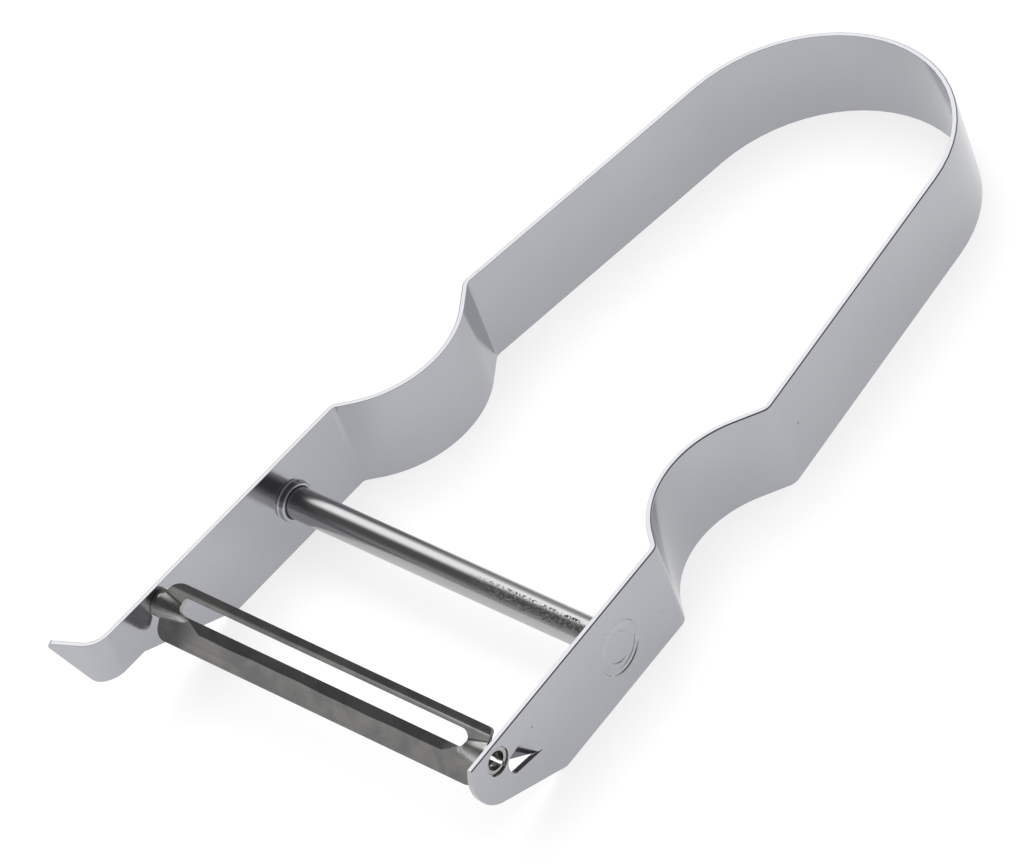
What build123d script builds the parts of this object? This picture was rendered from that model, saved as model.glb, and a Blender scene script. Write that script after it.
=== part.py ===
from build123d import *
from math import atan2, cos, hypot, radians, sin, sqrt, tan
import os

os.makedirs("parts", exist_ok=True)

# Vegetable peeler with a bent strip handle, a crossbar and a swivelling slotted blade.
# Millimetres. The peeler lies flat: its strip stands on edge, +Z is up and Z zero is the table.
# The origin is the middle of the strip at the crown of the bow, on the lower edge.
# The blade lies towards -Y, and "back" distances run from the crown towards the blade.

# Strip of the handle
strip_width = 12.0
strip_thickness = 0.65
edge_round = 0.15

# Bow and grip, along the middle of the strip
bow_radius = 17.85
arm_convergence = 7.5
shoulder_back = 51.35
shoulder_bend_radius = 1.4
shoulder_to_waist = 12.8
waist_to_hip = 8.8
hollow_depth = 10.55
hollow_straight = 1.6
hip_half_width = 24.0
hip_bend_radius = 1.2

# Front arms, each sprung out by its own angle
right_toe_out = 3.7
left_toe_out = 0.95

# Crossbar and its seats
hip_to_bar = 9.55
bar_diameter = 3.75
bar_chamfer = 0.1
bar_recess = 0.2
collar_diameter = 4.8
collar_height = 0.8
collar_round = 0.3
dish_diameter = 6.4
dish_depth = 0.25

# Pivot of the blade
bar_to_pivot = 20.55
pivot_below_top = 2.25
pivot_hole_diameter = 3.4
running_clearance = 0.07

# Tips of the arms
chamfer_angle = 25.5
tip_radius = 5.3
tip_centre_behind_pivot = 1.0
tip_centre_below_pivot = 0.35

# Potato eye gouge on the left tip
pivot_to_gouge_bend = 9.3
gouge_bend_radius = 2.75
gouge_turn = 68.0
gouge_length = 6.4
gouge_foot_length = 2.1
gouge_foot_below_top = 5.9
gouge_corner_radius = 1.3

# Stop tongue lanced from the right arm, its corners given below the pivot
stop_fold_to_pivot = 5.9
stop_length = 4.9
stop_root_low_drop = 4.55
stop_root_high_drop = 0.65
stop_nose_low_drop = 3.6
stop_nose_high_drop = 1.25
stop_nose_radius = 1.0
stop_slit = 0.12
stop_bend = 37.0

# Blade, in its own frame: reaches run from the pivot axis, in the plane of the rear flange
blade_thickness = 0.5
blade_front_reach = 3.72
blade_rear_reach = 3.04
crease_to_pivot = 2.24
crease_height = 1.3
blade_slope = 18.0
blade_rest_tilt = 31.0
blade_end_gap = 0.7
left_front_corner = 1.3
right_front_corner = 2.2
left_rear_corner = 2.8
right_rear_corner = 0.6
slot_front_reach = 0.25
slot_rear_reach = 1.7
slot_end_margin = 2.8
bevel_width = 1.21
bevel_runout = 2.2
cutting_edge_thickness = 0.08
bead_root_radius = 0.9
bead_setback = 0.35
bead_leg_drop = 0.3
tongue_seam = 0.6
tongue_recess = 0.25

# Run past the faces that a cut goes through
overrun = 2.0

# Worked out sizes: each place along the handle follows from the one before it
half_strip = strip_thickness / 2
bar_radius = bar_diameter / 2
pivot_hole_radius = pivot_hole_diameter / 2
bar_height = strip_width / 2
pivot_height = strip_width - pivot_below_top
convergence = radians(arm_convergence)
apex_y = bow_radius / sin(convergence) - bow_radius
shoulder_half_width = (apex_y + shoulder_back) * tan(convergence)
waist_half_width = hip_half_width - hollow_depth
waist_back = shoulder_back + shoulder_to_waist
hip_back = waist_back + waist_to_hip
bar_back = hip_back + hip_to_bar
pivot_back = bar_back + bar_to_pivot
gouge_bend_back = pivot_back + pivot_to_gouge_bend
stop_fold_back = pivot_back - stop_fold_to_pivot

# The bend of the finger hollow takes up the slope to the hip but for a short straight
hollow_slope = atan2(hollow_depth, waist_to_hip)
hollow_turn = hollow_slope + atan2(shoulder_half_width - waist_half_width, shoulder_to_waist)
hip_tangent = hip_bend_radius * tan(hollow_slope / 2)
waist_tangent = hypot(hollow_depth, waist_to_hip) - hip_tangent - hollow_straight
waist_bend_radius = waist_tangent / tan(hollow_turn / 2)

# Lower edge of both tips: a slant that rises to the round of the tip
slant = radians(chamfer_angle)
tip_centre_y = tip_centre_behind_pivot - pivot_back
tip_centre_z = pivot_height - tip_centre_below_pivot
tip_tangent = (tip_centre_y - tip_radius * sin(slant), tip_centre_z - tip_radius * cos(slant))
tip_front = (tip_centre_y - tip_radius, tip_centre_z)
tip_top_y = tip_centre_y - sqrt(tip_radius**2 - (strip_width - tip_centre_z) ** 2)
chamfer_y = tip_tangent[0] + tip_tangent[1] / tan(slant)
gouge_foot_height = strip_width - gouge_foot_below_top
gouge_foot_y = chamfer_y - gouge_foot_height / tan(slant)
tip_back = tip_radius - tip_centre_y + overrun


# Directions and places on an arm: side is 1 for the right arm and -1 for the left one.
def arm_toe(side):
    return radians(right_toe_out if side > 0 else left_toe_out)


def arm_middle(side, back):
    """Distance of the strip's middle from the centre plane, at a distance back from the crown."""
    return hip_half_width + (back - hip_back) * tan(arm_toe(side))


def arm_forward(side):
    return Vector(side * sin(arm_toe(side)), -cos(arm_toe(side)), 0)


def arm_outward(side):
    return Vector(side * cos(arm_toe(side)), sin(arm_toe(side)), 0)


def arm_point(side, back, height):
    return Vector(side * arm_middle(side, back), -back, height)


gouge_direction_angle = radians(left_toe_out + gouge_turn)
gouge_bend = arm_point(-1, gouge_bend_back, 0)
gouge_direction = Vector(-sin(gouge_direction_angle), -cos(gouge_direction_angle), 0)
gouge_end = gouge_bend + gouge_direction * (gouge_length + overrun)

# Handle: one strip bent to a bow, two finger hollows, two arms and the gouge
strip_points = [
    (arm_middle(1, tip_back), -tip_back),
    (hip_half_width, -hip_back),
    (waist_half_width, -waist_back),
    (shoulder_half_width, -shoulder_back),
    (0, apex_y),
    (-shoulder_half_width, -shoulder_back),
    (-waist_half_width, -waist_back),
    (-hip_half_width, -hip_back),
    (gouge_bend.X, gouge_bend.Y),
    (gouge_end.X, gouge_end.Y),
]
strip_radii = [
    hip_bend_radius,
    waist_bend_radius,
    shoulder_bend_radius,
    bow_radius,
    shoulder_bend_radius,
    waist_bend_radius,
    hip_bend_radius,
    gouge_bend_radius,
]

front_limit_y = gouge_end.Y - overrun


# Stop tongue: its plane starts on the outer face at the fold and is turned inwards by a bend
def stop_plane(bend):
    forward = arm_forward(1)
    outward = arm_outward(1)
    turn = radians(bend)
    start = arm_point(1, stop_fold_back, 0) + outward * half_strip
    return Plane(
        origin=start,
        x_dir=forward * cos(turn) - outward * sin(turn),
        z_dir=outward * -cos(turn) - forward * sin(turn),
    )


with BuildPart() as handle:
    with BuildSketch():
        with BuildLine():
            FilletPolyline(*strip_points, radius=strip_radii)
            offset(amount=half_strip, side=Side.BOTH)
        make_face()
    extrude(amount=strip_width)

    # Slanted and rounded right tip
    with BuildSketch(Plane.YZ):
        with BuildLine():
            Line((chamfer_y, 0), tip_tangent)
            ThreePointArc(tip_tangent, tip_front, (tip_top_y, strip_width))
            Polyline(
                (tip_top_y, strip_width),
                (tip_top_y, strip_width + overrun),
                (front_limit_y, strip_width + overrun),
                (front_limit_y, -overrun),
                (chamfer_y, -overrun),
                (chamfer_y, 0),
            )
        make_face()
    extrude(amount=arm_middle(1, tip_back) + overrun, mode=Mode.SUBTRACT)

    # Slanted lower edge of the left tip, which then runs level to the gouge
    with BuildSketch(Plane.YZ):
        with BuildLine():
            Polyline(
                (chamfer_y, 0),
                (gouge_foot_y, gouge_foot_height),
                (front_limit_y, gouge_foot_height),
                (front_limit_y, -overrun),
                (chamfer_y, -overrun),
                close=True,
            )
        make_face()
    extrude(amount=gouge_end.X - overrun, mode=Mode.SUBTRACT)

    # Oblique end of the gouge, with its point at the top
    gouge_plane = Plane(
        origin=gouge_bend,
        x_dir=gouge_direction,
        z_dir=Vector(gouge_direction.Y, -gouge_direction.X, 0),
    )
    with BuildSketch(gouge_plane):
        with BuildLine():
            Polyline(
                (0, gouge_foot_height),
                (gouge_foot_length, gouge_foot_height),
                (gouge_length, strip_width),
                (gouge_length, strip_width + overrun),
                (gouge_length + overrun + overrun, strip_width + overrun),
                (gouge_length + overrun + overrun, -overrun),
                (0, -overrun),
                close=True,
            )
        make_face()
        foot_corner = vertices().sort_by_distance((gouge_foot_length, gouge_foot_height))[0]
        fillet(foot_corner, radius=gouge_corner_radius)
    extrude(amount=gouge_bend_radius, both=True, mode=Mode.SUBTRACT)

    # Broken long edges
    fillet(edges().group_by(Axis.Z)[0] + edges().group_by(Axis.Z)[-1], radius=edge_round)

    # Collars drawn inwards round the bar
    for side in (1, -1):
        seat = Plane(
            origin=arm_point(side, bar_back, bar_height),
            z_dir=arm_outward(side),
        )
        with BuildSketch(seat.offset(-half_strip - collar_height)):
            Circle(collar_diameter / 2)
        extrude(amount=collar_height + half_strip)
        rim_centre = seat.from_local_coords((0, 0, -half_strip - collar_height))
        fillet(edges().sort_by_distance(rim_centre)[0], radius=collar_round)

    # Bores for the bar and for the tongues of the blade
    with BuildSketch(Plane.YZ):
        with Locations((-bar_back, bar_height)):
            Circle(bar_radius)
        with Locations((-pivot_back, pivot_height)):
            Circle(pivot_hole_radius)
    extrude(amount=arm_middle(1, tip_back) + overrun, both=True, mode=Mode.SUBTRACT)

    # Dishes pressed round the bar ends: each cone runs on into the bore
    dish_radius = dish_diameter / 2
    cone_end_radius = bar_radius / 2
    cone_depth = dish_depth * (dish_radius - cone_end_radius) / (dish_radius - bar_radius)
    for side in (1, -1):
        mouth = Plane(
            origin=arm_point(side, bar_back, bar_height) + arm_outward(side) * half_strip,
            z_dir=-arm_outward(side),
        )
        with Locations(mouth):
            Cone(
                bottom_radius=dish_radius,
                top_radius=cone_end_radius,
                height=cone_depth,
                align=(Align.CENTER, Align.CENTER, Align.MIN),
                mode=Mode.SUBTRACT,
            )

    # Window of the stop tongue, then the tongue itself, a slit smaller all round and bent inwards
    for bend, slit, both, mode in (
        (0, 0, True, Mode.SUBTRACT),
        (stop_bend, stop_slit, False, Mode.ADD),
    ):
        with BuildSketch(stop_plane(bend)):
            with BuildLine():
                Polyline(
                    (0, pivot_height - stop_root_low_drop + slit),
                    (stop_length - slit, pivot_height - stop_nose_low_drop + slit),
                    (stop_length - slit, pivot_height - stop_nose_high_drop - slit),
                    (0, pivot_height - stop_root_high_drop - slit),
                    close=True,
                )
            make_face()
            fillet(vertices().group_by(Axis.X)[-1], radius=stop_nose_radius - slit)
        extrude(amount=strip_thickness, both=both, mode=mode)

handle.part.label = "handle"
export_step(handle.part, "parts/handle.step")

# Crossbar: a round bar pressed into the two collars
bar_left_x = -arm_middle(-1, bar_back) - half_strip + bar_recess
bar_right_x = arm_middle(1, bar_back) + half_strip - bar_recess
with BuildPart() as crossbar:
    with BuildSketch(Plane.YZ.offset(bar_left_x)):
        with Locations((-bar_back, bar_height)):
            Circle(bar_radius)
    extrude(amount=bar_right_x - bar_left_x)
    chamfer(edges().filter_by(GeomType.CIRCLE), length=bar_chamfer)

crossbar.part.label = "crossbar"
export_step(crossbar.part, "parts/crossbar.step")

# Blade: a sheet creased near its rear edge, with a slot, a ground edge and rolled tongues
blade_left_x = -arm_middle(-1, pivot_back) + half_strip + blade_end_gap
blade_right_x = arm_middle(1, pivot_back) - half_strip - blade_end_gap
tongue_left_x = -arm_middle(-1, pivot_back) - half_strip + tongue_recess
tongue_right_x = arm_middle(1, pivot_back) + half_strip - tongue_recess
blade_length = blade_right_x - blade_left_x
blade_middle_x = (blade_left_x + blade_right_x) / 2
blade_width = blade_front_reach + blade_rear_reach
slot_width = slot_front_reach + slot_rear_reach
slot_length = blade_length - slot_end_margin * 2
slot_straight = slot_length - slot_width
tongue_radius = pivot_hole_radius - running_clearance
slope = radians(blade_slope)
tilt = radians(blade_rest_tilt)
bead_inner = slot_straight / 2 + bead_setback


def blade_section(x):
    """Plane across the blade: its own X runs to the rear, in the plane of the rear flange."""
    return Plane(
        origin=(x, -pivot_back, pivot_height),
        x_dir=(0, cos(tilt), sin(tilt)),
        z_dir=(1, 0, 0),
    )


def sheet_top(across):
    """Height of the sheet's upper face: it falls to the front from the crease."""
    return crease_height - max(crease_to_pivot - across, 0) * tan(slope)


# Plane along the blade through the pivot axis, looked at square to the rear flange
blade_plan = Plane(
    origin=(blade_middle_x, -pivot_back, pivot_height),
    x_dir=(1, 0, 0),
    z_dir=(0, -sin(tilt), cos(tilt)),
)

with BuildPart() as blade:
    # Creased sheet, its long edges square to its faces
    front_top = (-blade_front_reach, sheet_top(-blade_front_reach))
    crease_inset = blade_thickness * tan(slope / 2)
    with BuildSketch(blade_section(blade_left_x)):
        with BuildLine():
            Polyline(
                front_top,
                (crease_to_pivot, crease_height),
                (blade_rear_reach, crease_height),
                (blade_rear_reach, crease_height - blade_thickness),
                (crease_to_pivot + crease_inset, crease_height - blade_thickness),
                (
                    front_top[0] + blade_thickness * sin(slope),
                    front_top[1] - blade_thickness * cos(slope),
                ),
                close=True,
            )
        make_face()
    extrude(amount=blade_length)

    # Rounded corners
    with BuildSketch(blade_plan):
        with Locations((0, (blade_rear_reach - blade_front_reach) / 2)):
            Rectangle(blade_length, blade_width)
        for row, side, corner in (
            (0, 0, left_front_corner),
            (0, -1, right_front_corner),
            (-1, 0, left_rear_corner),
            (-1, -1, right_rear_corner),
        ):
            fillet(vertices().group_by(Axis.Y)[row].sort_by(Axis.X)[side], radius=corner)
    extrude(amount=blade_width, both=True, mode=Mode.INTERSECT)

    # Half round beads widen towards the arms; rolled tongues, open in a seam, run on through them
    for root_x, seat_x, tongue_x in (
        (blade_middle_x - bead_inner, blade_left_x, tongue_left_x),
        (blade_middle_x + bead_inner, blade_right_x, tongue_right_x),
    ):
        for skin, mode in ((0, Mode.ADD), (blade_thickness, Mode.SUBTRACT)):
            for x, radius in ((root_x, bead_root_radius), (seat_x, tongue_radius)):
                with BuildSketch(blade_section(x)):
                    Circle(radius - skin)
                    with Locations((0, -bead_leg_drop - skin - tongue_radius)):
                        Rectangle(tongue_radius * 2, tongue_radius * 2, mode=Mode.SUBTRACT)
            loft(mode=mode)
            with BuildSketch(blade_section(seat_x)):
                Circle(tongue_radius - skin)
                if mode == Mode.ADD:
                    with Locations((0, -tongue_radius)):
                        Rectangle(tongue_seam, tongue_radius * 2, mode=Mode.SUBTRACT)
            extrude(amount=tongue_x - seat_x, mode=mode)

    # Slot between the cutting edge and the rail
    with BuildSketch(blade_plan):
        with Locations((0, (slot_rear_reach - slot_front_reach) / 2)):
            SlotOverall(slot_length, slot_width)
    extrude(amount=tongue_radius + overrun, both=True, mode=Mode.SUBTRACT)

    # Ground bevel along the front side of the slot, run out at both ends
    bevel_far = slot_front_reach + bevel_width
    drop = blade_thickness / cos(slope)
    edge_floor = sheet_top(-slot_front_reach) - drop + cutting_edge_thickness
    fall = sheet_top(-bevel_far) - edge_floor
    with BuildSketch(blade_section(blade_middle_x - slot_straight / 2)):
        with BuildLine():
            Polyline(
                (-bevel_far, sheet_top(-bevel_far)),
                (-slot_front_reach, edge_floor),
                (0, edge_floor - fall / bevel_width * slot_front_reach),
                (0, crease_height + overrun),
                (-bevel_far, crease_height + overrun),
                close=True,
            )
        make_face()
    bevel_tool = extrude(amount=slot_straight, mode=Mode.PRIVATE)
    for end in (-1, 1):
        runout = Plane(
            origin=blade_plan.from_local_coords((end * slot_straight / 2, -slot_front_reach)),
            z_dir=Vector(-end * bevel_width, 0, 0) + blade_plan.y_dir * bevel_runout,
        )
        bevel_tool = split(bevel_tool, bisect_by=runout, keep=Keep.TOP, mode=Mode.PRIVATE)
    add(bevel_tool, mode=Mode.SUBTRACT)

blade.part.label = "blade"
export_step(blade.part, "parts/blade.step")
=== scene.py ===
# %% [markdown]
# # A vegetable peeler in bent steel
# One narrow strip of plated steel is bent into a bow with two finger hollows and two springy
# arms. A bright bar ties the arms together and a slotted blade swings between their tips.
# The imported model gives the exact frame: every piece below is built in metres, in its place.

# %% Load the frame
import math

import bmesh
import bpy
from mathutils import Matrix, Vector


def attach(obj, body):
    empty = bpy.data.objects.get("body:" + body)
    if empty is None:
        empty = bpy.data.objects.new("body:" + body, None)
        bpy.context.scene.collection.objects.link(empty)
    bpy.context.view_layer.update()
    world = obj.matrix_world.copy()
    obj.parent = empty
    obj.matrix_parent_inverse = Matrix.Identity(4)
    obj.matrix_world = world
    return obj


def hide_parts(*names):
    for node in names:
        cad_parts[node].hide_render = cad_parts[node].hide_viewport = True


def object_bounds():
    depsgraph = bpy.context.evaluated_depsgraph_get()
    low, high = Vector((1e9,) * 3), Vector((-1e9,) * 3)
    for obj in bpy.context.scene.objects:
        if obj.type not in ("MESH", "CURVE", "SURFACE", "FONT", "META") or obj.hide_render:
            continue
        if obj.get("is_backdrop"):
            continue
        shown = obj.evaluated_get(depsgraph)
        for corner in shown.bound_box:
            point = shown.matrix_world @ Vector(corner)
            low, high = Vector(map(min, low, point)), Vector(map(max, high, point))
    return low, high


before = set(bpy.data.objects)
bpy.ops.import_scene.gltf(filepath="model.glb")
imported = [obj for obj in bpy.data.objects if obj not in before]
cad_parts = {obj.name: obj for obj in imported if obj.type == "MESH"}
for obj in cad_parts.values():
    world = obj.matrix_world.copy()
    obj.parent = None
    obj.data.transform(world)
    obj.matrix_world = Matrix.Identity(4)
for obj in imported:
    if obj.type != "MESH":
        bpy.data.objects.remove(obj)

MM = 0.001
cad_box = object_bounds()
print("size in mm", [round((b - a) / MM, 2) for a, b in zip(*cad_box)])

# %% [markdown]
# ## The camera
# The peeler is seen from the blade's side, from well above and from far away with a long lens,
# so that parallel edges stay almost parallel. The numbers come from fitting the bent outline
# to its edges in the picture.

# %% Place the camera
scene = bpy.context.scene
scene.view_settings.view_transform = "Standard"
camera = bpy.data.objects.new("camera", bpy.data.cameras.new("camera"))
scene.collection.objects.link(camera)
camera.location = (0.464252, -0.379561, 0.536504)
camera.rotation_euler = [math.radians(a) for a in (44.75316, 15.97472, 40.63095)]
camera.data.sensor_width = 36
camera.data.lens = 247.8616
camera.data.clip_start, camera.data.clip_end = 0.05, 30
scene.camera = camera
print("camera distance in mm", round(camera.location.length / MM))

# %% [markdown]
# ## Building materials and trees of nodes
# Every finish and every Geometry Nodes tree below is written with a few small helpers. The
# first adds a node, sets its inputs, and makes a link wherever an input is given the output of
# another node. Trees could also be clicked together by hand, but a written one can be read from
# top to bottom and gives the same result each time.


# %% Helpers for nodes
def node(tree, kind, inputs=None, **settings):
    """Adds a node; an input is a value, or an output socket that is linked to it."""
    made = tree.nodes.new(kind)
    for key, value in settings.items():
        setattr(made, key, value)
    for key, value in (inputs or {}).items():
        if isinstance(value, bpy.types.NodeSocket):
            tree.links.new(value, made.inputs[key])
        else:
            made.inputs[key].default_value = value
    return made


def math_of(tree, operation, first, second=0.0):
    return node(tree, "ShaderNodeMath", {0: first, 1: second}, operation=operation).outputs[0]


def ramp(tree, value, low, high, to_low=0.0, to_high=1.0, kind="SMOOTHSTEP"):
    """Carries a value from the range low to high into another range, softly by default."""
    return node(
        tree,
        "ShaderNodeMapRange",
        {"Value": value, "From Min": low, "From Max": high, "To Min": to_low, "To Max": to_high},
        interpolation_type=kind,
    ).outputs["Result"]


def clamp(value, low=0.0, high=1.0):
    return min(max(value, low), high)


# %% [markdown]
# ## Light, floor and surroundings
# Bright metal has hardly any colour of its own: it shows what stands around it. A studio table
# is white, one large soft window lies behind on the left, and the rest of the room above the
# table is dim. The flat faces of the strip mirror the table, the rounded bar mirrors all of it
# in bands. The table is made white for the camera and for reflections, yet keeps the shadow.


# %% Floor
def material(name):
    made = bpy.data.materials.new(name)
    made.use_nodes = True
    made.node_tree.nodes.clear()
    return made, made.node_tree


floor_grey, floor_glow, half_floor, floor_drop = 0.34, 0.69, 8.0, 0.02
floor_paint, tree = material("studio_table")
rays = node(tree, "ShaderNodeLightPath").outputs
seen = math_of(tree, "MAXIMUM", rays["Is Camera Ray"], rays["Is Glossy Ray"])
seen = math_of(tree, "MAXIMUM", seen, rays["Is Transmission Ray"])
matt = node(tree, "ShaderNodeBsdfDiffuse", {"Color": (floor_grey, floor_grey, floor_grey, 1)})
lift = math_of(tree, "MULTIPLY", seen, floor_glow)
glow = node(tree, "ShaderNodeEmission", {"Strength": lift})
both = node(tree, "ShaderNodeAddShader", {0: matt.outputs[0], 1: glow.outputs[0]})
node(tree, "ShaderNodeOutputMaterial", {"Surface": both.outputs[0]})

floor_mesh = bpy.data.meshes.new("floor")
floor_mesh.from_pydata(
    [
        (x * half_floor, y * half_floor, -floor_drop * MM)
        for x, y in ((-1, -1), (1, -1), (1, 1), (-1, 1))
    ],
    [],
    [(0, 1, 2, 3)],
)
floor_mesh.materials.append(floor_paint)
floor = bpy.data.objects.new("floor", floor_mesh)
scene.collection.objects.link(floor)
floor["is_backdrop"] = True
print("floor", 2 * half_floor, "m wide,", floor_drop, "mm below the peeler")

# %% Room: dim above, one soft window behind on the left
world = bpy.data.worlds.new("studio")
scene.world = world
world.use_nodes = True
tree = world.node_tree
tree.nodes.clear()


def direction(azimuth, elevation):
    a, e = math.radians(azimuth), math.radians(elevation)
    return Vector((math.cos(a) * math.cos(e), math.sin(a) * math.cos(e), math.sin(e)))


look = node(tree, "ShaderNodeTexCoord").outputs["Generated"]
height = node(tree, "ShaderNodeSeparateXYZ", {"Vector": look}).outputs["Z"]
room = ramp(tree, height, 0.1, 0.6, 0.65, 0.13)  # lighter near the table than overhead
towards = node(
    tree, "ShaderNodeVectorMath", {0: look, 1: direction(146, 43)}, operation="DOT_PRODUCT"
).outputs["Value"]
window = ramp(tree, towards, 0.88, 0.99, 0.0, 1.8)
level = math_of(tree, "ADD", room, window)
sky = node(tree, "ShaderNodeBackground", {"Color": (1.0, 1.0, 1.0, 1), "Strength": level})
node(tree, "ShaderNodeOutputWorld", {"Surface": sky.outputs[0]})
print("nodes of the room", len(tree.nodes))


# %% Lamps
def lamp(name, azimuth, elevation, distance, size, power):
    """A square soft lamp that faces the peeler and isn't mirrored by it."""
    light = bpy.data.lights.new(name, "AREA")
    light.shape, light.size, light.energy = "SQUARE", size, power
    made = bpy.data.objects.new(name, light)
    scene.collection.objects.link(made)
    target = Vector((0, -0.055, 0))
    back = direction(azimuth, elevation)
    made.location = target + back * distance
    made.rotation_euler = back.to_track_quat("Z", "Y").to_euler()
    made.visible_camera = made.visible_glossy = False
    print(name, "power", power, "size", size)


lamp("window_lamp", 150, 45, 1.6, 1.4, 5.0)
lamp("ceiling_lamp", 0, 90, 2.0, 3.6, 58.0)

# %% [markdown]
# ## Plated strip
# The handle is rolled steel strip with a thin bright plating: a mirror with a slight haze, a
# faint waviness, rolling lines along the strip, tiny pits and a few fine scratches. Painted
# pictures could show them too, but patterns made by nodes need no unwrapping and stay sharp.
# The strip always stands upright, so a pattern that is stretched in the level directions
# follows every bend.


# %% Helpers for patterns in millimetres
def place_in_mm(tree, scale=(1, 1, 1)):
    where = node(tree, "ShaderNodeTexCoord").outputs["Object"]
    return node(
        tree, "ShaderNodeMapping", {"Vector": where, "Scale": [s / MM for s in scale]}
    ).outputs[0]


def noise(tree, vector, scale, detail=2.0, distortion=0.0):
    return node(
        tree,
        "ShaderNodeTexNoise",
        {"Vector": vector, "Scale": scale, "Detail": detail, "Distortion": distortion},
    ).outputs["Fac"]


def bump(tree, height, depth_mm, under=None):
    """A relief of the given depth in millimetres, on top of another one."""
    inputs = {"Height": height, "Distance": depth_mm * MM, "Strength": 1.0}
    if under is not None:
        inputs["Normal"] = under
    return node(tree, "ShaderNodeBump", inputs).outputs["Normal"]


def blend_colour(tree, factor, first, second):
    """A mix of two colours, which are the inputs 6 and 7 of the node."""
    inputs = {"Factor": factor}
    for index, colour in ((6, first), (7, second)):
        inputs[index] = colour if isinstance(colour, bpy.types.NodeSocket) else (*colour, 1)
    return node(tree, "ShaderNodeMix", inputs, data_type="RGBA").outputs[2]


def metal(tree, colour, rough, relief):
    """Ends a tree of nodes as bare metal."""
    shader = node(
        tree,
        "ShaderNodeBsdfPrincipled",
        {"Base Color": colour, "Metallic": 1.0, "Roughness": rough, "Normal": relief},
    )
    node(tree, "ShaderNodeOutputMaterial", {"Surface": shader.outputs[0]})


# %% The finish of the strip
def plated_finish(name):
    made, tree = material(name)
    place = place_in_mm(tree)
    clouds = noise(tree, place, 0.06, 3.0)
    haze = noise(tree, place, 0.5, 4.0)
    rolling = noise(tree, place_in_mm(tree, (0.03, 0.03, 5.0)), 1.0, 3.0)
    pits = node(tree, "ShaderNodeTexVoronoi", {"Vector": place, "Scale": 0.13}).outputs["Distance"]
    pits = ramp(tree, pits, 0.01, 0.04, 0.6, 0.0)
    line = math_of(tree, "SUBTRACT", noise(tree, place, 0.05, 2.0, 1.5), 0.5)
    scratches = ramp(tree, math_of(tree, "ABSOLUTE", line), 0.0, 0.0022, 1.0, 0.0)
    scratches = math_of(tree, "MULTIPLY", scratches, ramp(tree, haze, 0.5, 0.62))
    faint = math_of(tree, "MULTIPLY", scratches, 0.25)

    colour = blend_colour(tree, clouds, (0.395, 0.4, 0.428), (0.45, 0.455, 0.48))
    colour = blend_colour(tree, pits, colour, (0.2, 0.2, 0.21))
    colour = blend_colour(tree, faint, colour, (0.3, 0.3, 0.31))
    rough = ramp(tree, haze, 0.0, 1.0, 0.11, 0.19, "LINEAR")
    rough = math_of(tree, "ADD", rough, math_of(tree, "MULTIPLY", scratches, 0.06))
    relief = bump(tree, clouds, 0.04)
    relief = bump(tree, noise(tree, place, 0.9, 2.0), 0.0003, relief)
    relief = bump(tree, rolling, 0.0003, relief)
    relief = bump(tree, pits, -0.012, relief)
    metal(tree, colour, rough, relief)
    return made


plated = plated_finish("plated_steel")
print("nodes of the plated finish", len(plated.node_tree.nodes))

# %% [markdown]
# ## The bent strip
# A strip that is bent round a few formers follows a simple rule: straight runs that meet at
# corners, each corner rounded by its own bend. So the handle starts as ten points joined by
# edges, each with the radius of its bend. A Geometry Nodes tree rounds the corners and carries
# the strip's section along the path. Change a radius and the whole handle follows.

# %% Sizes of the strip
strip_width, strip_thickness = 12.0, 0.65
outer_round, inner_round = 0.2, 0.04
bow_radius, arm_convergence = 17.85, math.radians(7.5)
shoulder_back, shoulder_bend = 51.35, 1.4
waist_half_width, waist_back, waist_bend = 13.45, 64.15, 12.6
hip_half_width, hip_back, hip_bend = 24.0, 72.95, 1.2
toe_out = {1: math.radians(3.7), -1: math.radians(0.95)}
bar_back, bar_height = 82.5, 6.0
pivot_back, pivot_height, tip_back = 103.05, 9.75, 109.35
gouge_back, gouge_bend, gouge_reach = 112.35, 2.75, 8.4
gouge_turn = toe_out[-1] + math.radians(68)
apex_y = bow_radius / math.sin(arm_convergence) - bow_radius
shoulder_half_width = (apex_y + shoulder_back) * math.tan(arm_convergence)
print("shoulders", round(2 * shoulder_half_width, 2), "mm apart, apex at", round(apex_y, 2))


# %% The path of the strip
def arm_middle(side, back):
    """Distance from the centre plane to the middle of an arm; side is 1 right and -1 left."""
    return hip_half_width + (back - hip_back) * math.tan(toe_out[side])


def arm_forward(side):
    return Vector((side * math.sin(toe_out[side]), -math.cos(toe_out[side]), 0))


def arm_outward(side):
    return Vector((side * math.cos(toe_out[side]), math.sin(toe_out[side]), 0))


def arm_point(side, back, height=0.0):
    return Vector((side * arm_middle(side, back), -back, height))


gouge_start = arm_point(-1, gouge_back)
gouge_forward = Vector((-math.sin(gouge_turn), -math.cos(gouge_turn), 0))
gouge_end = gouge_start + gouge_forward * gouge_reach
right_side = [
    (hip_half_width, -hip_back, hip_bend),
    (waist_half_width, -waist_back, waist_bend),
    (shoulder_half_width, -shoulder_back, shoulder_bend),
]
path = [(arm_middle(1, tip_back), -tip_back, 0.0), *right_side, (0.0, apex_y, bow_radius)]
path += [(-x, y, bend) for x, y, bend in reversed(right_side)]
path += [(gouge_start.x, gouge_start.y, gouge_bend), (gouge_end.x, gouge_end.y, 0.0)]
print("points of the path", len(path))


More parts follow.
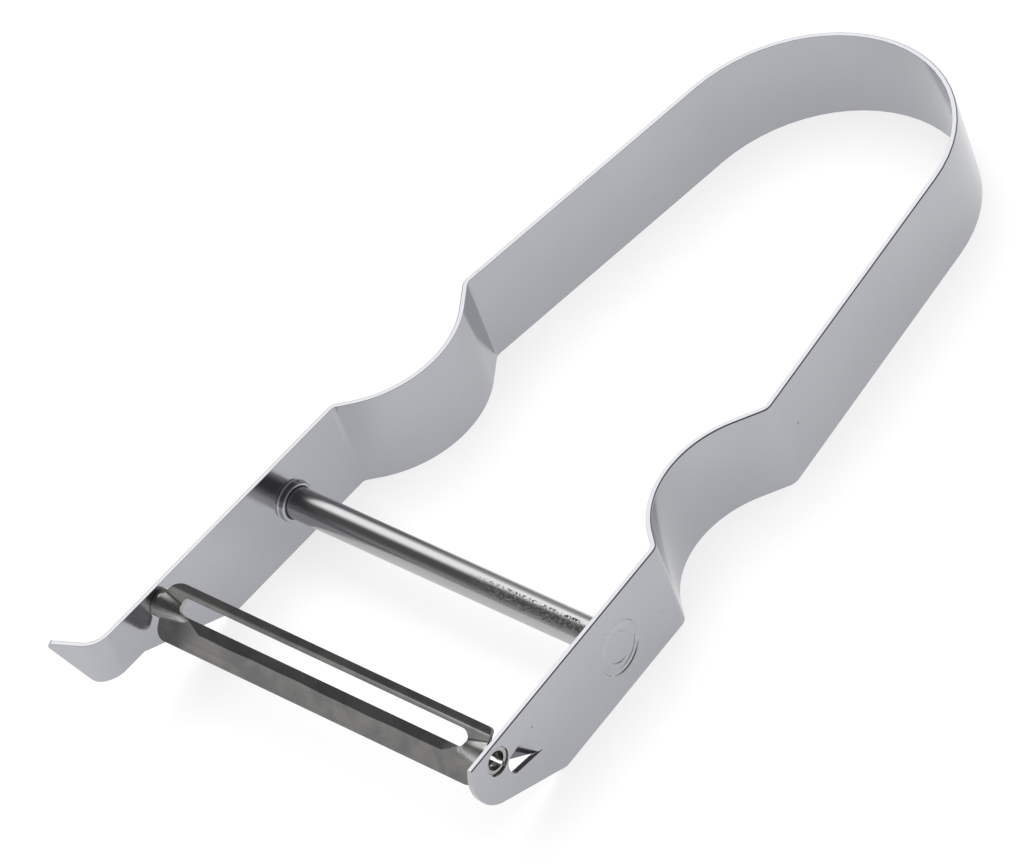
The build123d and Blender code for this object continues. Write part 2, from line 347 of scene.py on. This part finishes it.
# %% Helpers for trees that make a mesh
def geometry_tree(name, inputs):
    """An empty Geometry Nodes tree, and the sockets of its named inputs."""
    tree = bpy.data.node_groups.new(name, "GeometryNodeTree")
    tree.interface.new_socket("Geometry", in_out="INPUT", socket_type="NodeSocketGeometry")
    for kind, labels in inputs.items():
        for label in labels:
            tree.interface.new_socket(label, in_out="INPUT", socket_type="NodeSocket" + kind)
    tree.interface.new_socket("Geometry", in_out="OUTPUT", socket_type="NodeSocketGeometry")
    return tree, node(tree, "NodeGroupInput").outputs


def run_tree(piece, tree, values):
    """Runs the tree on a piece with its inputs set, and leaves a plain mesh."""
    modifier = piece.modifiers.new(tree.name, "NODES")
    modifier.node_group = tree
    sockets = {s.name: s.identifier for s in tree.interface.items_tree if s.in_out == "INPUT"}
    for label, value in values.items():
        modifier[sockets[label]] = value
    plain_mesh(piece)


def plain_mesh(piece):
    """Turns what the modifiers show into the piece's own mesh."""
    graph = bpy.context.evaluated_depsgraph_get()
    shown = bpy.data.meshes.new_from_object(piece.evaluated_get(graph))
    piece.modifiers.clear()
    piece.data = shown


# %% The tree: round the corners, sweep the section
bent_strip, given = geometry_tree(
    "bent_strip",
    {
        "Float": ["Strip Width", "Strip Thickness", "Outer Round", "Inner Round"],
        "Int": ["Steps per Bend"],
        "Material": ["Finish"],
    },
)
tree = bent_strip
line = node(tree, "GeometryNodeMeshToCurve", {"Mesh": given["Geometry"]})
radius = node(tree, "GeometryNodeInputNamedAttribute", {"Name": "bend_radius"}, data_type="FLOAT")
bent = node(
    tree,
    "GeometryNodeFilletCurve",
    {"Curve": line.outputs[0], "Count": given["Steps per Bend"], "Radius": radius.outputs[0]},
    mode="POLY",
)
upright = node(tree, "GeometryNodeSetCurveNormal", {"Curve": bent.outputs[0]}, mode="Z_UP")
section = node(
    tree,
    "GeometryNodeCurvePrimitiveQuadrilateral",
    {"Width": given["Strip Thickness"], "Height": given["Strip Width"]},
)
place = node(tree, "GeometryNodeInputPosition").outputs[0]
side = node(tree, "ShaderNodeSeparateXYZ", {"Vector": place}).outputs["X"]
side = math_of(tree, "GREATER_THAN", side)
corner = node(
    tree,
    "ShaderNodeMix",
    {"Factor": side, 2: given["Inner Round"], 3: given["Outer Round"]},
    data_type="FLOAT",
).outputs[0]
section = node(
    tree,
    "GeometryNodeFilletCurve",
    {"Curve": section.outputs[0], "Count": 5, "Radius": corner},
    mode="POLY",
)
swept = node(
    tree,
    "GeometryNodeCurveToMesh",
    {"Curve": upright.outputs[0], "Profile Curve": section.outputs[0], "Fill Caps": True},
)
rise = node(
    tree, "ShaderNodeCombineXYZ", {"Z": math_of(tree, "MULTIPLY", given["Strip Width"], 0.5)}
)
raised = node(
    tree, "GeometryNodeSetPosition", {"Geometry": swept.outputs[0], "Offset": rise.outputs[0]}
)
real = node(tree, "GeometryNodeRealizeInstances", {"Geometry": raised.outputs[0]})
dressed = node(
    tree, "GeometryNodeSetMaterial", {"Geometry": real.outputs[0], "Material": given["Finish"]}
)
node(tree, "NodeGroupOutput", {"Geometry": dressed.outputs[0]})
print("nodes of the bent strip", len(tree.nodes))

# %% Sweep the strip
guide = bpy.data.meshes.new("strip_path")
guide.from_pydata(
    [(x * MM, y * MM, 0) for x, y, _ in path], [(i, i + 1) for i in range(len(path) - 1)], []
)
guide.attributes.new("bend_radius", "FLOAT", "POINT").data.foreach_set(
    "value", [r * MM for _, _, r in path]
)
handle = bpy.data.objects.new("handle_strip", guide)
scene.collection.objects.link(handle)
run_tree(
    handle,
    bent_strip,
    {
        "Strip Width": strip_width * MM,
        "Strip Thickness": strip_thickness * MM,
        "Outer Round": outer_round * MM,
        "Inner Round": inner_round * MM,
        "Steps per Bend": 28,
        "Finish": plated,
    },
)
for axis, values in zip("xyz", zip(*(v.co for v in handle.data.vertices))):
    print("strip", axis, round(min(values) / MM, 2), "to", round(max(values) / MM, 2))

# %% [markdown]
# ## Cutting tools
# A press cuts the tips, the window and the holes. Modelling them into the strip point by point
# would be slow to change, so each tool is a closed skin over a few rings of points, and a
# Boolean takes it away from the strip. Tools are removed after their cut.


# %% Helpers: skins, tools and cuts
def skin(name, rings, closed=False):
    """A closed mesh over rings of points in millimetres; open ends get a cap."""
    shape = bmesh.new()
    rows = [[shape.verts.new(Vector(p) * MM) for p in ring] for ring in rings]
    count = len(rows[0])
    for first, second in list(zip(rows, rows[1:])) + ([(rows[-1], rows[0])] if closed else []):
        for i in range(count):
            j = (i + 1) % count
            shape.faces.new((first[i], first[j], second[j], second[i]))
    if not closed:
        shape.faces.new(rows[0])
        shape.faces.new(rows[-1])
    bmesh.ops.recalc_face_normals(shape, faces=shape.faces)
    mesh = bpy.data.meshes.new(name)
    shape.to_mesh(mesh)
    shape.free()
    made = bpy.data.objects.new(name, mesh)
    scene.collection.objects.link(made)
    return made


def combine(piece, tool, operation="DIFFERENCE", transfer=False):
    """Cuts the tool out of the piece, or keeps what both share; a tool may hand on its finish."""
    modifier = piece.modifiers.new("cut", "BOOLEAN")
    modifier.operation, modifier.solver, modifier.object = operation, "EXACT", tool
    modifier.material_mode = "TRANSFER" if transfer else "INDEX"
    plain_mesh(piece)
    bpy.data.objects.remove(tool)


def prism(name, outline, start, end):
    """A tool with an outline of (y, z) points, between two places along X."""
    return skin(name, [[(x, y, z) for y, z in outline] for x in (start, end)])


def circle(centre, axis, radius, steps):
    """A ring of points round an axis."""
    axis = Vector(axis).normalized()
    up = Vector((0, 0, 1)) if abs(axis.z) < 0.9 else Vector((0, 1, 0))
    across = axis.cross(up).normalized()
    up = across.cross(axis)
    turns = [2 * math.pi * i / steps for i in range(steps)]
    return [Vector(centre) + (across * math.cos(t) + up * math.sin(t)) * radius for t in turns]


def turned(name, origin, axis, profile, closed=False, steps=96):
    """A turned form: its profile has (distance along the axis, radius) points."""
    origin, axis = Vector(origin), Vector(axis).normalized()
    return skin(name, [circle(origin + axis * a, axis, r, steps) for a, r in profile], closed)


# %% Cut the tips
slant, gouge_drop = math.radians(25.5), 5.9
tip_radius, tip_y, tip_z = 5.3, 1.0 - pivot_back, pivot_height - 0.35
above, below, beyond = 14.0, -2.0, -125.0  # where a tool ends clear of the strip
right_arm, left_arm = (10.0, 40.0), (-45.0, -10.0)  # what a tool spans along X
touch_y = tip_y - tip_radius * math.sin(slant)
touch_z = tip_z - tip_radius * math.cos(slant)
slant_start = touch_y + touch_z / math.tan(slant)
slant_below = (slant_start - below / math.tan(slant), below)
turn = math.pi / 2 - slant + math.asin((strip_width - tip_z) / tip_radius)
angles = [math.radians(-90) - slant - turn * i / 40 for i in range(41)]
round_tip = [(tip_y + tip_radius * math.cos(a), tip_z + tip_radius * math.sin(a)) for a in angles]
waste = [(slant_start, 0.0)] + round_tip
waste += [(round_tip[-1][0], above), (beyond, above), (beyond, below), slant_below]
combine(handle, prism("tip_tool", waste, *right_arm))

foot_height = strip_width - gouge_drop
foot_y = slant_start - foot_height / math.tan(slant)
waste = [slant_below, (foot_y, foot_height), (beyond, foot_height), (beyond, below)]
combine(handle, prism("slant_tool", waste, *left_arm))
print("after the tips", len(handle.data.polygons))

# %% Cut the slanted end of the gouge
foot_length, gouge_length, foot_round, point_round = 2.1, 6.4, 1.3, 0.5
clear, tool_reach = 14.0, 3.0
rise = math.atan2(strip_width - foot_height, gouge_length - foot_length)
foot_end = foot_length - foot_round * math.tan(rise / 2)
point_start = gouge_length - point_round / math.tan(rise / 2)
outline = [(0.0, foot_height)]
for angle in [rise * i / 12 for i in range(13)]:
    along = foot_end + foot_round * math.sin(angle)
    outline.append((along, foot_height + foot_round - foot_round * math.cos(angle)))
for angle in [rise + (math.pi - rise) * i / 8 for i in range(9)]:
    along = point_start + point_round * math.sin(angle)
    outline.append((along, strip_width - point_round - point_round * math.cos(angle)))
outline += [(point_start, above), (clear, above), (clear, below), (0.0, below)]
across = Vector((gouge_forward.y, -gouge_forward.x, 0))
rings = [
    [gouge_start + gouge_forward * a + across * side + Vector((0, 0, h)) for a, h in outline]
    for side in (-tool_reach, tool_reach)
]
combine(handle, skin("gouge_tool", rings))
print("after the gouge", len(handle.data.polygons))

# %% [markdown]
# ### Bores and dishes
# The bar and the blade sit in round bores. Pressing the bar in leaves a shallow dish on the
# outside of each arm, with a low ring of peened steel in it. Both are turned forms, so a few
# points of a profile are enough, and the cuts follow each arm's own slight turn.

# %% Cut the bores and the dishes
bar_radius, pivot_radius, bore_reach, half_span = 1.875, 1.7, 3, 40
dish_rim = [(0.3, 3.3), (0.006, 3.25), (-0.12, 3.14), (-0.17, 3.0), (-0.18, 2.85), (-0.16, 2.7)]
dish_ring = [(-0.06, 2.45), (-0.03, 2.3), (-0.04, 2.1), (-0.07, 1.95), (-0.08, 1.5)]
for side in (1, -1):
    out = arm_outward(side)
    seat = arm_point(side, bar_back, bar_height)
    bore = [(0, bar_radius), (2 * bore_reach, bar_radius)]
    combine(handle, turned("bar_tool", seat - out * bore_reach, out, bore))
    face = seat + out * strip_thickness / 2
    combine(handle, turned("dish_tool", face, out, dish_rim + dish_ring))
bore = [(0, pivot_radius), (2 * half_span, pivot_radius)]
left_of_both = (-half_span, -pivot_back, pivot_height)
combine(handle, turned("pivot_tool", left_of_both, (1, 0, 0), bore))
print("after the bores", len(handle.data.polygons))

# %% [markdown]
# ## The stop tongue
# A small tongue is cut free in the right arm and bent inwards, where it stops the blade. What
# stays behind is a window with two rounded corners. The tongue is a skin over sections that
# start inside the arm, turn through a tight bend and narrow to the nose. Bending a flat piece
# with a modifier would work too, but sections keep the thickness even.

# %% Window outline and cut
fold_back, tongue_length, nose_corner, window_reach = pivot_back - 5.9, 4.9, 1.0, 1.0
root_low, root_high = pivot_height - 4.55, pivot_height - 0.65
nose_low, nose_high = pivot_height - 3.6, pivot_height - 1.25


def rounded(points, radii, steps=8):
    """A closed outline with round corners."""
    made = []
    count = len(points)
    for i, (point, radius) in enumerate(zip(points, radii)):
        point = Vector(point)
        before = (Vector(points[i - 1]) - point).normalized()
        after = (Vector(points[(i + 1) % count]) - point).normalized()
        if radius == 0:
            made.append(point)
            continue
        half = before.angle(after) / 2
        centre = point + (before + after).normalized() * radius / math.sin(half)
        start = point + before * radius / math.tan(half) - centre
        end = point + after * radius / math.tan(half) - centre
        for k in range(steps + 1):
            mixed = start.slerp(end, k / steps) if start.angle(end) > 1e-6 else start
            made.append(centre + mixed.normalized() * radius)
    return made


window_corners = [
    (0, root_low), (tongue_length, nose_low), (tongue_length, nose_high), (0, root_high)
]
window_outline = rounded(window_corners, [0, nose_corner, nose_corner, 0])
out, forward = arm_outward(1), arm_forward(1)
fold = arm_point(1, fold_back)
rings = [
    [fold + forward * p.x + out * offset + Vector((0, 0, p.y)) for p in window_outline]
    for offset in (-window_reach, window_reach)
]
combine(handle, skin("window_tool", rings))
print("after the window", len(handle.data.polygons))

# %% Bend the tongue
slit, bend_angle, bend_radius, nose_round = 0.12, math.radians(37), 0.8, 0.88
free_length, nose_start = tongue_length - slit, 3.9


def tongue_edges(s):
    """Lowest and highest point of the tongue at a distance s from the fold."""
    share = clamp(s / free_length)
    lower = root_low + slit + (nose_low - root_low) * share
    upper = root_high - slit + (nose_high - root_high) * share
    reach = free_length - s
    if reach < nose_round:
        inset = nose_round - math.sqrt(max(nose_round**2 - (nose_round - reach) ** 2, 0.0))
        lower, upper = lower + inset, upper - inset
    return lower, max(upper, lower + 0.05)


stations = [-0.5, -0.2, 0.0] + [0.14 * i for i in range(1, 11)] + [2.0, 2.6, 3.2, 3.6, nose_start]
stations += [nose_start + nose_round * math.sin(math.pi / 2 * i / 8) for i in range(1, 9)]
rings = []
for s in stations:
    angle = clamp(s / bend_radius, 0.0, bend_angle)
    straight = s if s < 0 else max(s - bend_angle * bend_radius, 0.0)
    along = bend_radius * math.sin(angle) + straight * math.cos(angle)
    inward = bend_radius * (1 - math.cos(angle)) + straight * math.sin(angle)
    middle = fold + forward * along - out * inward
    normal = out * math.cos(angle) + forward * math.sin(angle)
    half = (strip_thickness / 2) * (0.9 if s < 0 else 1.0)
    lower, upper = tongue_edges(s)
    section = ((half, lower), (half, upper), (-half, upper), (-half, lower))
    rings.append([middle + normal * n + Vector((0, 0, z)) for n, z in section])
tongue = skin("stop_tongue", rings)
tongue.data.materials.append(plated)
print("tongue faces", len(tongue.data.polygons))

# %% [markdown]
# ## Collars round the bar
# Where the bar passes through an arm, the punch has drawn the steel inwards into a short
# collar with a rounded lip. It is a turned ring whose foot flares into the arm. A ring of its
# own, sunk a little into the strip, is simpler than drawing it out of the strip's own mesh.

# %% Turn the collars
collar_radius, collar_height, collar_bore = 2.4, 0.8, 1.885
collar_lip = (collar_radius - collar_bore) / 2
flare, flare_height, foot_width, sunk = 0.22, 0.2, 0.15, 0.2
collar_profile = [(-sunk, collar_bore)]
for angle in [math.pi * i / 16 for i in range(17)]:
    along = collar_height - collar_lip + collar_lip * math.sin(angle)
    collar_profile.append((along, collar_radius - collar_lip - collar_lip * math.cos(angle)))
for angle in [math.pi / 2 * i / 6 for i in range(7)]:
    along = flare_height - flare * math.sin(angle)
    collar_profile.append((along, collar_radius + flare - flare * math.cos(angle)))
collar_profile.append((-sunk, collar_radius + foot_width))
collars = []
for side, label in ((1, "right"), (-1, "left")):
    out = arm_outward(side)
    seat = arm_point(side, bar_back, bar_height) - out * strip_thickness / 2
    collar = turned("collar_" + label, seat, -out, collar_profile, closed=True)
    collar.data.materials.append(plated)
    collars.append(collar)
print("collar faces", [len(c.data.polygons) for c in collars])


# %% Join the handle and smooth it
def joined(piece, others):
    """Puts the meshes of other pieces into this one."""
    shape = bmesh.new()
    for part in [piece, *others]:
        shape.from_mesh(part.data)
    shape.to_mesh(piece.data)
    shape.free()
    for part in others:
        bpy.data.objects.remove(part)


def smooth(piece, angle=28):
    """Smooth shading with crisp edges; large flat faces keep their own direction."""
    mesh = piece.data
    mesh.polygons.foreach_set("use_smooth", [True] * len(mesh.polygons))
    mesh.set_sharp_from_angle(angle=math.radians(angle))
    modifier = piece.modifiers.new("weights", "WEIGHTED_NORMAL")
    modifier.keep_sharp, modifier.weight = True, 100
    plain_mesh(piece)


joined(handle, [tongue, *collars])
smooth(handle)
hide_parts("handle")
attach(handle, "frame")
print("handle faces", len(handle.data.polygons))

# %% [markdown]
# ## The crossbar
# A drawn steel rod, polished and plated more brightly than the strip. It mirrors the room in
# long bands, and fine pits show in its plating near the right arm, where the bright band ends.
# Its ends are turned with a small round and lie almost flush in the dishes.


# %% The finish of the bar
def bright_finish(name):
    made, tree = material(name)
    place = place_in_mm(tree)
    grain = noise(tree, place, 6.0, 3.0)
    drawn = noise(tree, place_in_mm(tree, (0.05, 6.0, 6.0)), 1.0, 3.0)
    across = node(tree, "ShaderNodeSeparateXYZ", {"Vector": place}).outputs
    right_end = ramp(tree, across["X"], 2.0, 16.0)
    lean_y, lean_z = -0.41, 0.912  # the bright band ends along this direction
    lean = math_of(tree, "MULTIPLY", math_of(tree, "ADD", across["Y"], bar_back), lean_y)
    lean = math_of(tree, "ADD", lean, math_of(tree, "MULTIPLY", across["Z"], lean_z))
    shoulder = ramp(tree, lean, bar_height * lean_z + 1.68, bar_height * lean_z + 1.82)
    pits = ramp(tree, noise(tree, place, 3.2, 2.0), 0.52, 0.6)
    pits = math_of(tree, "MULTIPLY", pits, math_of(tree, "MULTIPLY", right_end, shoulder))
    faint = math_of(tree, "MULTIPLY", pits, 0.2)
    colour = blend_colour(tree, noise(tree, place, 0.1), (0.405, 0.405, 0.41), (0.445, 0.445, 0.45))
    colour = blend_colour(tree, faint, colour, (0.25, 0.25, 0.26))
    rough = ramp(tree, grain, 0.0, 1.0, 0.2, 0.28, "LINEAR")
    relief = bump(tree, noise(tree, place, 0.5, 2.0), 0.002)
    relief = bump(tree, drawn, 0.001, relief)
    relief = bump(tree, pits, -0.1, relief)
    metal(tree, colour, rough, relief)
    return made


bright_bar = bright_finish("bright_bar")
print("nodes of the bar's finish", len(bright_bar.node_tree.nodes))

# %% Turn the bar
end_depth = 0.08
bar_left = -arm_middle(-1, bar_back) - strip_thickness / 2 + end_depth
bar_right = arm_middle(1, bar_back) + strip_thickness / 2 - end_depth
bar_length = bar_right - bar_left
bar_end = [(0.0, 0.3), (0.003, 0.8), (0.007, 1.3), (0.015, 1.7), (0.03, bar_radius)]
bar_end += [(2.0, bar_radius)]
profile = bar_end + [(bar_length * i / 12, bar_radius) for i in range(1, 12)]
profile += [(bar_length - a, r) for a, r in reversed(bar_end)]
left_end = (bar_left, -bar_back, bar_height)
crossbar = turned("crossbar_rod", left_end, (1, 0, 0), profile, steps=128)
crossbar.data.materials.append(bright_bar)
crossbar.data.materials.append(plated)
for face in crossbar.data.polygons:
    if abs(face.normal.x) > 0.9:
        face.material_index = 1
smooth(crossbar, 35)
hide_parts("crossbar")
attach(crossbar, "frame")
print("crossbar", round(bar_length, 2), "mm long, faces", len(crossbar.data.polygons))

# %% [markdown]
# ## The blade
# The blade is stamped from thin carbon steel. A crease near its rear edge parts a narrow rear
# flange from a main face that slopes to the front. At both ends a half round bead widens towards
# the arm and runs on as a tongue into it. A slot with a ground edge takes the peel. The body is
# a skin over sections, so the beads can melt into the sheet, and the corners, the slot and the
# ground bevel are then cut like the real ones.

# %% Sizes of the blade
blade_thickness, front_reach, rear_reach = 0.5, 3.72, 3.04
crease, crease_height, crease_bend = 2.24, 1.3, 0.3
slope, tilt = math.tan(math.radians(18)), math.radians(31)
blade_end_gap, slot_end_margin, bead_setback = 0.7, 2.8, 0.35
inner_face = {s: arm_middle(s, pivot_back) - strip_thickness / 2 for s in (1, -1)}
blade_ends = (-inner_face[-1] + blade_end_gap, inner_face[1] - blade_end_gap)
half_length = (blade_ends[1] - blade_ends[0]) / 2
blade_middle = sum(blade_ends) / 2
tongue_radius, root_radius = 1.63, 0.9
slot_front, slot_rear = 0.25, 1.7
slot_half = half_length - slot_end_margin
slot_straight = slot_half - (slot_front + slot_rear) / 2
bead_start = slot_straight + bead_setback
print("blade", round(half_length * 2, 2), "mm long, slot", round(slot_half * 2, 2))


# %% The form of the blade
def on_blade(u, v, w):
    """A point of the blade: u along it, v towards the bow and w up from the pivot axis."""
    return Vector(
        (
            blade_middle + u,
            -pivot_back + v * math.cos(tilt) - w * math.sin(tilt),
            pivot_height + v * math.sin(tilt) + w * math.cos(tilt),
        )
    )


def sheet(v):
    """Height of the sheet: flat behind the softly bent crease, sloping to the front before it."""
    run = max(crease + crease_bend / 2 - v, 0.0)
    fall = run**2 / (2 * crease_bend) if run < crease_bend else run - crease_bend / 2
    return crease_height - fall * slope


def bead_radius(u):
    run = (abs(u) - bead_start) / (half_length - bead_start)
    return root_radius + (tongue_radius - root_radius) * clamp(run)


def soft_max(a, b, blend):
    """The larger of two heights, with a fillet where they meet."""
    share = clamp(0.5 + 0.5 * (a - b) / blend)
    return b + (a - b) * share + blend * share * (1 - share)


bead_lead, bead_fade, bead_sink, bead_fillet = 0.9, 1.5, 1.2, 0.5


def top_height(u, v):
    """Height of the upper face: the sheet, and the bead at the ends."""
    inside = bead_radius(u) ** 2 - v * v
    if inside < 0:
        return sheet(v)
    fade = clamp((abs(u) - bead_start + bead_lead) / bead_fade)
    return soft_max(sheet(v), math.sqrt(inside) - bead_sink * (1 - fade) ** 2, bead_fillet)


rub_height, rub_width, rub_start, rub_run = 0.05, 0.12, -8, 26


def rubbed(u, v):
    """The crease stands a trace proud where it is rubbed bright, most on the right."""
    across = math.exp(-(((v - crease) / rub_width) ** 2))
    return rub_height * clamp((u - rub_start) / rub_run) * across


# %% Skin the body
# places across the blade, close together over the beads and the crease
widths = [-front_reach, -3.2, -2.7, -2.3, -2.1]
widths += [-1.98 + 0.055 * i for i in range(80)] + [2.55, 2.8, rear_reach]


def body_ring(u):
    """A section across the blade: along the upper face, and back below it."""
    top = [Vector((v, top_height(u, v))) for v in widths]
    under = []
    for i, point in enumerate(top):
        run = top[min(i + 1, len(top) - 1)] - top[max(i - 1, 0)]
        normal = Vector((run.y, -run.x)).normalized()
        under.append(point + normal * blade_thickness)
    top = [Vector((p.x, p.y + rubbed(u, p.x))) for p in top]
    return [on_blade(u, p.x, p.y) for p in top + under[::-1]]


# places along the blade, close together at the beads; the corner tool trims the overhang
overhang = 0.4
places = [half_length + overhang - 0.125 * i for i in range(48)]
places += [places[-1] - 1.2 * i for i in range(1, 17)]
places = [p for p in places if p > 0.3]
places = [-p for p in places] + [0.0] + places[::-1]
blade = skin("blade_body", [body_ring(u) for u in places])
print("blade body faces", len(blade.data.polygons))


# %% Cut the corners and the slot
punch_reach = 4.0


def punch(name, front, rear, half, corners):
    """A tool with rounded corners that stands square on the rear flange."""
    outline = rounded([(-half, front), (half, front), (half, rear), (-half, rear)], corners, 12)
    ends = (-punch_reach, punch_reach)
    return skin(name, [[on_blade(p.x, p.y, w) for p in outline] for w in ends])


margin = 0.01
corners = [1.3, 2.2, 0.6, 2.8]  # left front, right front, right rear, left rear
edge_tool = punch("corner_tool", -front_reach - margin, rear_reach + margin, half_length, corners)
combine(blade, edge_tool, "INTERSECT")
corners = [(slot_front + slot_rear) / 2 - 0.001] * 4
combine(blade, punch("slot_tool", -slot_front, slot_rear, slot_half, corners))
print("after the slot", len(blade.data.polygons))

# %% [markdown]
# ### Finishes of the blade
# The blade is bare carbon steel, darker and browner than the plated strip, with fine lines
# along it from rolling. The ground edge is darker still, and its fine lines run across it. Both
# come from one helper with other colours and another stretch of the same lines.


# %% Finishes of the blade
def blade_finish(name, dark, light, stretch, rough):
    made, tree = material(name)
    place = place_in_mm(tree)
    lines = noise(tree, place_in_mm(tree, stretch), 1.0, 4.0)
    clouds = noise(tree, place, 0.25, 4.0, 0.6)
    colour = blend_colour(tree, ramp(tree, clouds, 0.35, 0.65), dark, light)
    colour = blend_colour(tree, ramp(tree, lines, 0.35, 0.75, 0.0, 0.45), colour, dark)
    shine = ramp(tree, lines, 0.0, 1.0, rough - 0.05, rough + 0.09, "LINEAR")
    relief = bump(tree, clouds, 0.01)
    relief = bump(tree, lines, 0.0012, relief)
    metal(tree, colour, shine, relief)
    return made


blade_steel = blade_finish(
    "blade_steel", (0.31, 0.308, 0.306), (0.43, 0.421, 0.41), (0.05, 5, 5), 0.22
)
ground_steel = blade_finish(
    "ground_edge", (0.26, 0.264, 0.27), (0.36, 0.358, 0.355), (5, 0.3, 0.3), 0.26
)
blade.data.materials.append(blade_steel)
print("finishes", blade_steel.name, ground_steel.name)

# %% [markdown]
# ### The ground edge
# A wheel grinds a bevel along the front side of the slot and lifts off before both ends. The
# tool has the form of what the wheel takes away, a little uneven as from the hand, and the cut
# hands its own finish on to the new face.

# %% Grind the cutting edge
bevel_width, bevel_runout, edge_thickness = 1.21, 2.2, 0.08
wheel_before, wheel_behind, wheel_top = 0.5, 0.4, 4.0


def grinding_ring(u):
    """Section of what the grinding wheel takes away; it lifts off towards both ends."""
    edge_height = sheet(-slot_front) - blade_thickness / math.cos(math.atan(slope)) + edge_thickness
    rise = (sheet(-slot_front - bevel_width) - edge_height) / bevel_width
    lift = clamp((abs(u) - slot_straight + bevel_runout) / bevel_runout)
    width = bevel_width + 0.04 * math.sin(u * 0.31) + 0.02 * math.sin(u * 0.9 + 1)
    far = slot_front + (width * (1 - lift) - 0.05 * lift)
    ground = [
        on_blade(u, v, sheet(-far) - rise * (v + far)) for v in (-far - wheel_before, wheel_behind)
    ]
    above_it = [on_blade(u, v, wheel_top) for v in (wheel_behind, -far - wheel_before)]
    return ground + above_it


steps = 72
rings = [grinding_ring(slot_straight * (2 * i / steps - 1)) for i in range(steps + 1)]
wheel = skin("grinding_tool", rings)
wheel.data.materials.append(ground_steel)
combine(blade, wheel, transfer=True)
print("after grinding", len(blade.data.polygons), "cutting edge", round(slot_straight * 2, 1), "mm")

# %% [markdown]
# ### Tongues that swing in the arms
# At both ends the sheet is rolled into a tube that turns in the arm's bore. The tube is open in
# a seam below, so it shows a dark inside and a bright line. It starts under the bead, where the
# joint is hidden, and its rim is rounded at the outer end.

# %% Roll the tongues
seam, tongue_bore, tongue_recess, tongue_lead, roll_steps = 0.4, 1.13, 0.25, 0.9, 56


def tongue_ring(u, outer, inner):
    """Section of a rolled tongue: a tube that is open in a seam below."""
    a, b = math.asin(seam / 2 / outer), math.asin(seam / 2 / inner)
    steps = range(roll_steps + 1)
    turns = [a - math.pi / 2 + (2 * math.pi - 2 * a) * i / roll_steps for i in steps]
    back = [1.5 * math.pi - b - (2 * math.pi - 2 * b) * i / roll_steps for i in steps]
    return [on_blade(u, outer * math.cos(t), outer * math.sin(t)) for t in turns] + [
        on_blade(u, inner * math.cos(t), inner * math.sin(t)) for t in back
    ]


tongues = []
for side, label in ((1, "right"), (-1, "left")):
    outer_face = arm_middle(side, pivot_back) + strip_thickness / 2
    end = (outer_face - tongue_recess) * side - blade_middle
    inside = half_length - tongue_lead
    spots = [
        (side * inside, bead_radius(inside) - 0.04, 0.9),
        (side * half_length, tongue_radius, tongue_bore),
        (end - side * 0.08, tongue_radius, tongue_bore),
        (end - side * 0.02, tongue_radius - 0.02, 1.15),
        (end, tongue_radius - 0.07, 1.2),
    ]
    made = skin("blade_tongue_" + label, [tongue_ring(*spot) for spot in spots])
    made.data.materials.append(blade_steel)
    tongues.append(made)
joined(blade, tongues)
smooth(blade, 13)
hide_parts("blade")
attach(blade, "blade")
print("blade faces", len(blade.data.polygons))

# %% Compare the boxes and finish
shown_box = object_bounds()
for label, a, b in zip("xyz", *(zip(*c) for c in (cad_box, shown_box))):
    print(label, "cad", [round(v / MM, 2) for v in a], "shown", [round(v / MM, 2) for v in b])
